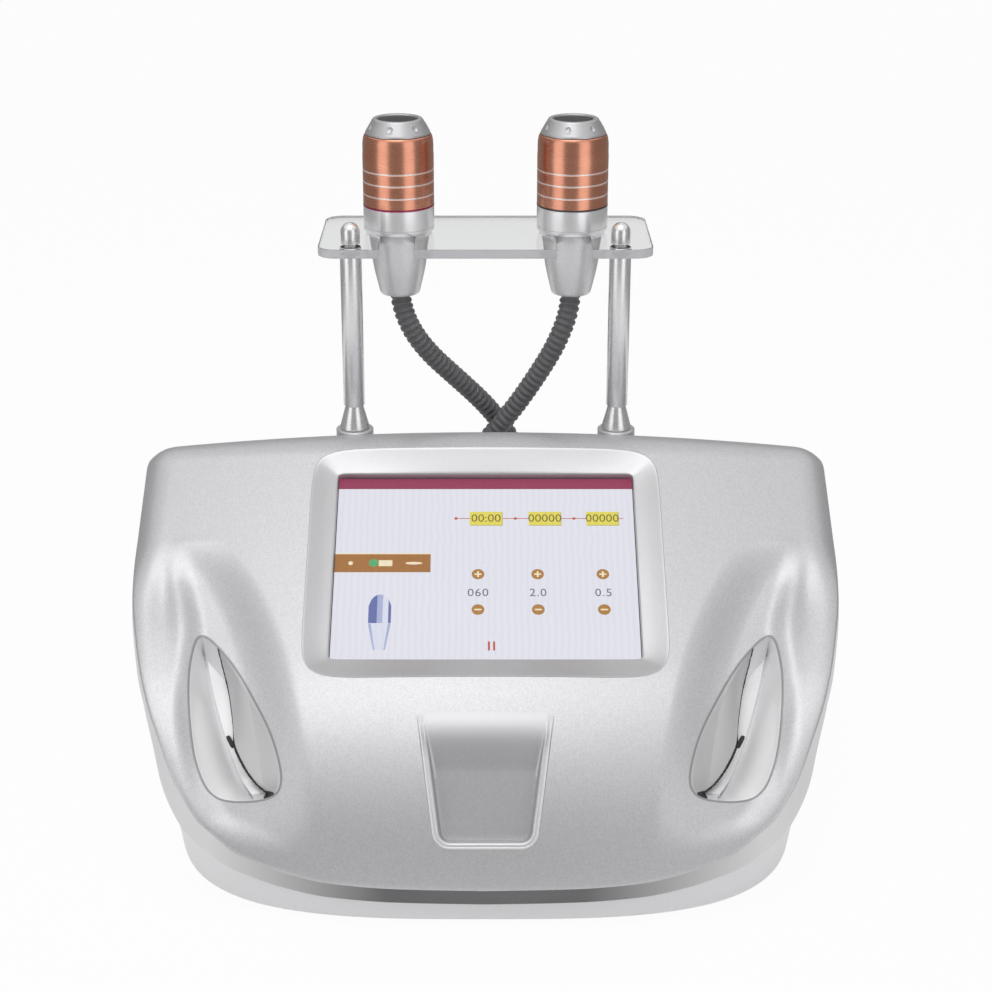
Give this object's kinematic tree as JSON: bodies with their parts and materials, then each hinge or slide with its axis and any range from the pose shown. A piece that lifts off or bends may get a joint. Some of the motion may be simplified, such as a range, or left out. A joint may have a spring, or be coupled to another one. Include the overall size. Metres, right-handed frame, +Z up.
{
  "type": "ultrasound skin care machine",
  "caption": "Table-top skin care console with a sloping touch screen, two side holsters, and a clear rack on posts holding two round handpieces on ribbed hoses.",
  "frame": {"origin": "middle of the footprint of the console and rack, on the table", "axes": "+X to the viewer's right, +Y to the back, +Z up"},
  "size_m": [0.385, 0.4457, 0.3605],
  "materials": {
    "silver_body": "glossy silver paint with a fine metallic sparkle",
    "bezel_silver": "glossy silver",
    "screen_glass": "clear touch glass",
    "lcd": "lit colour picture",
    "sheet_metal": "plain sheet steel",
    "rubber": "matt black",
    "board_green": "green circuit board",
    "board_blue": "blue circuit board",
    "brass": "plain",
    "black_plastic": "fine texture",
    "red_plastic": "glossy",
    "post_silver": "satin silver",
    "socket_metal": "satin",
    "clear_acrylic": "clear polished acrylic",
    "tail_silver": "satin silver paint",
    "collar_silver": "satin",
    "accent_pink": "glossy magenta",
    "accent_grey": "glossy dark grey",
    "copper": "satin copper with fine engraved lines",
    "motor_metal": "plain",
    "window_dark": "dark clear window",
    "hose_grey": "satin grey, ribbed"
  },
  "bodies": {
    "console": {"front_shell": "silver_body", "rear_cover": "silver_body", "base_tub": "silver_body", "left_holster": "silver_body", "right_holster": "silver_body", "centre_tray": "silver_body", "screen_bezel": "bezel_silver", "touch_glass": "screen_glass", "lcd_panel": "lcd", "lcd_bracket": "sheet_metal", "chassis_plate": "sheet_metal", "power_supply": "sheet_metal", "rear_panel": "sheet_metal", "fan_guard": "sheet_metal", "fan_screws": "sheet_metal", "case_screws": "sheet_metal", "rubber_feet": "rubber", "main_board": "board_green", "left_driver_board": "board_blue", "right_driver_board": "board_blue", "board_standoffs": "brass", "fan_frame": "black_plastic", "mains_inlet": "black_plastic", "left_hose_plug": "black_plastic", "right_hose_plug": "black_plastic", "left_post": "post_silver", "right_post": "post_silver", "dome_nuts": "post_silver", "left_socket": "socket_metal", "right_socket": "socket_metal", "rack_plate": "clear_acrylic", "left_hose_upper": "hose_grey", "right_hose_upper": "hose_grey", "left_hose_drop": "hose_grey", "right_hose_drop": "hose_grey", "left_hose_coil": "hose_grey", "right_hose_coil": "hose_grey", "left_hose_riser": "hose_grey", "right_hose_riser": "hose_grey"},
    "left_handpiece": {"left_hand_tail": "tail_silver", "left_hand_collar": "collar_silver", "left_hand_accent": "accent_pink", "left_hand_sleeve": "copper", "left_hand_motor": "motor_metal"},
    "left_head": {"left_grip_ring": "collar_silver", "left_hand_window": "window_dark"},
    "left_rotor": {"left_transducer": "brass"},
    "left_nut": {"left_plug_nut": "socket_metal"},
    "right_handpiece": {"right_hand_tail": "tail_silver", "right_hand_collar": "collar_silver", "right_hand_accent": "accent_grey", "right_hand_sleeve": "copper", "right_hand_motor": "motor_metal"},
    "right_head": {"right_grip_ring": "collar_silver", "right_hand_window": "window_dark"},
    "right_rotor": {"right_transducer": "brass"},
    "right_nut": {"right_plug_nut": "socket_metal"},
    "impeller": {"fan_impeller": "black_plastic"},
    "rocker": {"rocker_switch": "red_plastic"},
    "drawer": {"fuse_drawer": "black_plastic"}
  },
  "joints": [
    {"name": "left_handpiece_lift", "type": "slide", "parent": "console", "child": "left_handpiece", "axis": [0, 0, 1], "range_m": [0, 0.045], "deforming": ["left_hose_upper"]},
    {"name": "left_head_twist", "type": "hinge", "parent": "left_handpiece", "child": "left_head", "pos_m": [-0.049, 0.113, 0.352], "axis": [0, 0, 1], "range_deg": [0, 45]},
    {"name": "left_transducer_spin", "type": "hinge", "parent": "left_handpiece", "child": "left_rotor", "pos_m": [-0.049, 0.113, 0.345], "axis": [0, 0, 1], "continuous": true},
    {"name": "left_plug_nut_turn", "type": "hinge", "parent": "console", "child": "left_nut", "pos_m": [0.048, 0.1391, 0.104], "axis": [0, 1, 0], "continuous": true},
    {"name": "right_handpiece_lift", "type": "slide", "parent": "console", "child": "right_handpiece", "axis": [0, 0, 1], "range_m": [0, 0.045], "deforming": ["right_hose_upper"]},
    {"name": "right_head_twist", "type": "hinge", "parent": "right_handpiece", "child": "right_head", "pos_m": [0.049, 0.113, 0.352], "axis": [0, 0, 1], "range_deg": [0, 45]},
    {"name": "right_transducer_spin", "type": "hinge", "parent": "right_handpiece", "child": "right_rotor", "pos_m": [0.049, 0.113, 0.345], "axis": [0, 0, 1], "continuous": true},
    {"name": "right_plug_nut_turn", "type": "hinge", "parent": "console", "child": "right_nut", "pos_m": [-0.048, 0.1391, 0.104], "axis": [0, 1, 0], "continuous": true},
    {"name": "fan_spin", "type": "hinge", "parent": "console", "child": "impeller", "pos_m": [0.096, 0.122, 0.078], "axis": [0, 1, 0], "continuous": true},
    {"name": "power_rocker", "type": "hinge", "parent": "console", "child": "rocker", "pos_m": [-0.1, 0.1296, 0.0955], "axis": [1, 0, 0], "range_deg": [0, 24]},
    {"name": "fuse_drawer_slide", "type": "slide", "parent": "console", "child": "drawer", "axis": [0, 1, 0], "range_m": [0, 0.02]}
  ]
}
